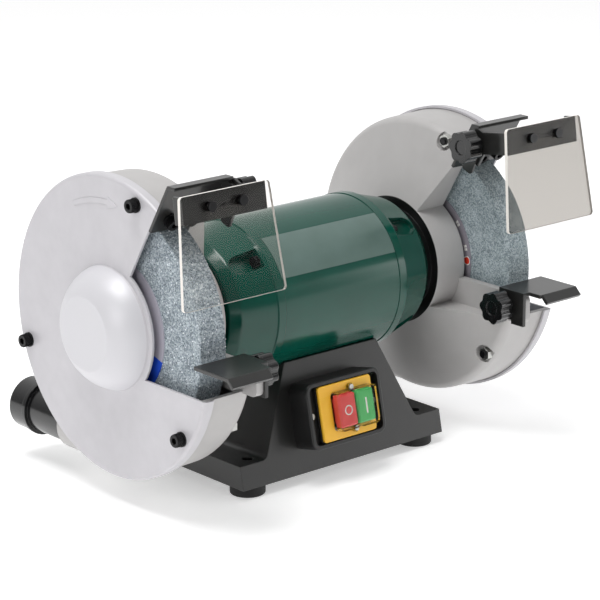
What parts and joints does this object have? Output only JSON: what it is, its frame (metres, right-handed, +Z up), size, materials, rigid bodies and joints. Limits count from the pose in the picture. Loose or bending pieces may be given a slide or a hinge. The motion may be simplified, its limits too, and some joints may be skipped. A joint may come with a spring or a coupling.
{
  "type": "bench grinder",
  "caption": "Bench grinder with a double-ended motor on a pedestal base, guarded grinding wheels, tool rests, spark deflectors, eye shields and rear dust spigots.",
  "frame": {"origin": "centre of the four bench-bolt holes, on the bench surface under the feet", "axes": "+X along the motor shaft, -Y towards the operator, +Z up"},
  "size_m": [0.4372, 0.2921, 0.276],
  "materials": {
    "black_powder_coat": "fine-texture powder coat",
    "rest_coat": "fine-texture powder coat on folded steel",
    "zinc_screws": "zinc plated",
    "black_screws": "black oxide",
    "rubber": "matt",
    "black_plastic": "fine-grained",
    "gloss_black_plastic": "glossy",
    "aluminium_can": "plain",
    "yellow_plastic": "semi-gloss",
    "clear_plastic": "soft clear splash cover",
    "clear_sheet": "clear plastic sheet with bright sawn edges",
    "red_plastic": "semi-gloss",
    "green_plastic": "semi-gloss",
    "green_paint": "deep gloss enamel",
    "badge_foil": "plain satin foil",
    "core_steel": "laminated",
    "winding": "varnished copper wire",
    "bearing_steel": "ground",
    "coarse_wheel": "coarse vitrified grit, light blue-grey",
    "fine_wheel": "fine vitrified grit, dark grey",
    "paper_label": "printed card disc",
    "cast_aluminium": "die cast, silver-grey satin paint",
    "silver_paint": "silver-grey satin paint on pressed steel"
  },
  "bodies": {
    "frame": {"base": "black_powder_coat", "base_plate": "black_powder_coat", "base_plate_screws": "zinc_screws", "feet": "rubber", "motor_screws": "black_screws", "cable_gland": "black_plastic", "capacitor": "aluminium_can", "switch_box": "black_plastic", "switch_panel": "black_plastic", "switch_body": "black_plastic", "switch_plate": "yellow_plastic", "switch_cover": "clear_plastic", "switch_screws": "black_screws", "motor_housing": "green_paint", "left_end_bell": "green_paint", "right_end_bell": "green_paint", "name_plate": "badge_foil", "tie_bolts": "black_screws", "stator_core": "core_steel", "stator_winding": "winding", "bearing_outer_rings": "bearing_steel", "lid_screws": "black_screws", "lid_nuts": "zinc_screws", "guard_screws": "black_screws", "deflector_screws": "black_screws", "dust_spigots": "gloss_black_plastic", "left_guard": "cast_aluminium", "left_guard_lid": "silver_paint", "right_guard": "cast_aluminium", "right_guard_lid": "silver_paint"},
    "rotor": {"shaft": "bearing_steel", "rotor_core": "core_steel", "fan": "black_plastic", "bearing_inner_rings": "bearing_steel", "bearing_balls": "bearing_steel", "left_wheel": "coarse_wheel", "right_wheel": "fine_wheel", "wheel_labels": "paper_label", "inner_flanges": "zinc_screws", "outer_flanges": "zinc_screws", "arbor_nuts": "zinc_screws"},
    "stop_button": {"stop_button": "red_plastic"},
    "start_button": {"start_button": "green_plastic"},
    "left_deflector": {"left_deflector": "black_powder_coat"},
    "left_shield": {"left_shield": "clear_sheet", "left_shield_bracket": "black_powder_coat", "left_shield_screws": "black_screws"},
    "left_shield_knob": {"left_shield_knob": "gloss_black_plastic"},
    "left_rest": {"left_tool_rest": "rest_coat"},
    "left_rest_knob": {"left_rest_knob": "gloss_black_plastic"},
    "right_deflector": {"right_deflector": "black_powder_coat"},
    "right_shield": {"right_shield": "clear_sheet", "right_shield_bracket": "black_powder_coat", "right_shield_screws": "black_screws"},
    "right_shield_knob": {"right_shield_knob": "gloss_black_plastic"},
    "right_rest": {"right_tool_rest": "rest_coat"},
    "right_rest_knob": {"right_rest_knob": "gloss_black_plastic"}
  },
  "joints": [
    {"name": "rotor_spin", "type": "hinge", "parent": "frame", "child": "rotor", "pos_m": [0, 0, 0.145], "axis": [1, 0, 0], "continuous": true},
    {"name": "stop_press", "type": "slide", "parent": "frame", "child": "stop_button", "axis": [0, 0.9776, -0.2107], "range_m": [0, 0.003], "stiffness_N_per_m": 500},
    {"name": "start_press", "type": "slide", "parent": "frame", "child": "start_button", "axis": [0, 0.9776, -0.2107], "range_m": [0, 0.003], "stiffness_N_per_m": 500},
    {"name": "left_deflector_slide", "type": "slide", "parent": "frame", "child": "left_deflector", "axis": [0, -0.5075, 0.8616], "range_m": [-0.0015, 0.003]},
    {"name": "left_shield_tilt", "type": "hinge", "parent": "left_deflector", "child": "left_shield", "pos_m": [0, -0.08201, 0.25661], "axis": [1, 0, 0], "range_deg": [-33, 10]},
    {"name": "left_shield_knob_turn", "type": "hinge", "parent": "left_deflector", "child": "left_shield_knob", "pos_m": [0, -0.08201, 0.25661], "axis": [1, 0, 0], "continuous": true},
    {"name": "left_rest_slide", "type": "slide", "parent": "frame", "child": "left_rest", "axis": [0, 1, 0], "range_m": [-0.005, 0.0025]},
    {"name": "left_rest_knob_turn", "type": "hinge", "parent": "frame", "child": "left_rest_knob", "pos_m": [0, -0.112, 0.125], "axis": [1, 0, 0], "continuous": true},
    {"name": "right_deflector_slide", "type": "slide", "parent": "frame", "child": "right_deflector", "axis": [0, -0.5075, 0.8616], "range_m": [-0.0015, 0.003]},
    {"name": "right_shield_tilt", "type": "hinge", "parent": "right_deflector", "child": "right_shield", "pos_m": [0, -0.08201, 0.25661], "axis": [1, 0, 0], "range_deg": [-33, 10]},
    {"name": "right_shield_knob_turn", "type": "hinge", "parent": "right_deflector", "child": "right_shield_knob", "pos_m": [0, -0.08201, 0.25661], "axis": [1, 0, 0], "continuous": true},
    {"name": "right_rest_slide", "type": "slide", "parent": "frame", "child": "right_rest", "axis": [0, 1, 0], "range_m": [-0.005, 0.0025]},
    {"name": "right_rest_knob_turn", "type": "hinge", "parent": "frame", "child": "right_rest_knob", "pos_m": [0, -0.112, 0.125], "axis": [1, 0, 0], "continuous": true}
  ]
}
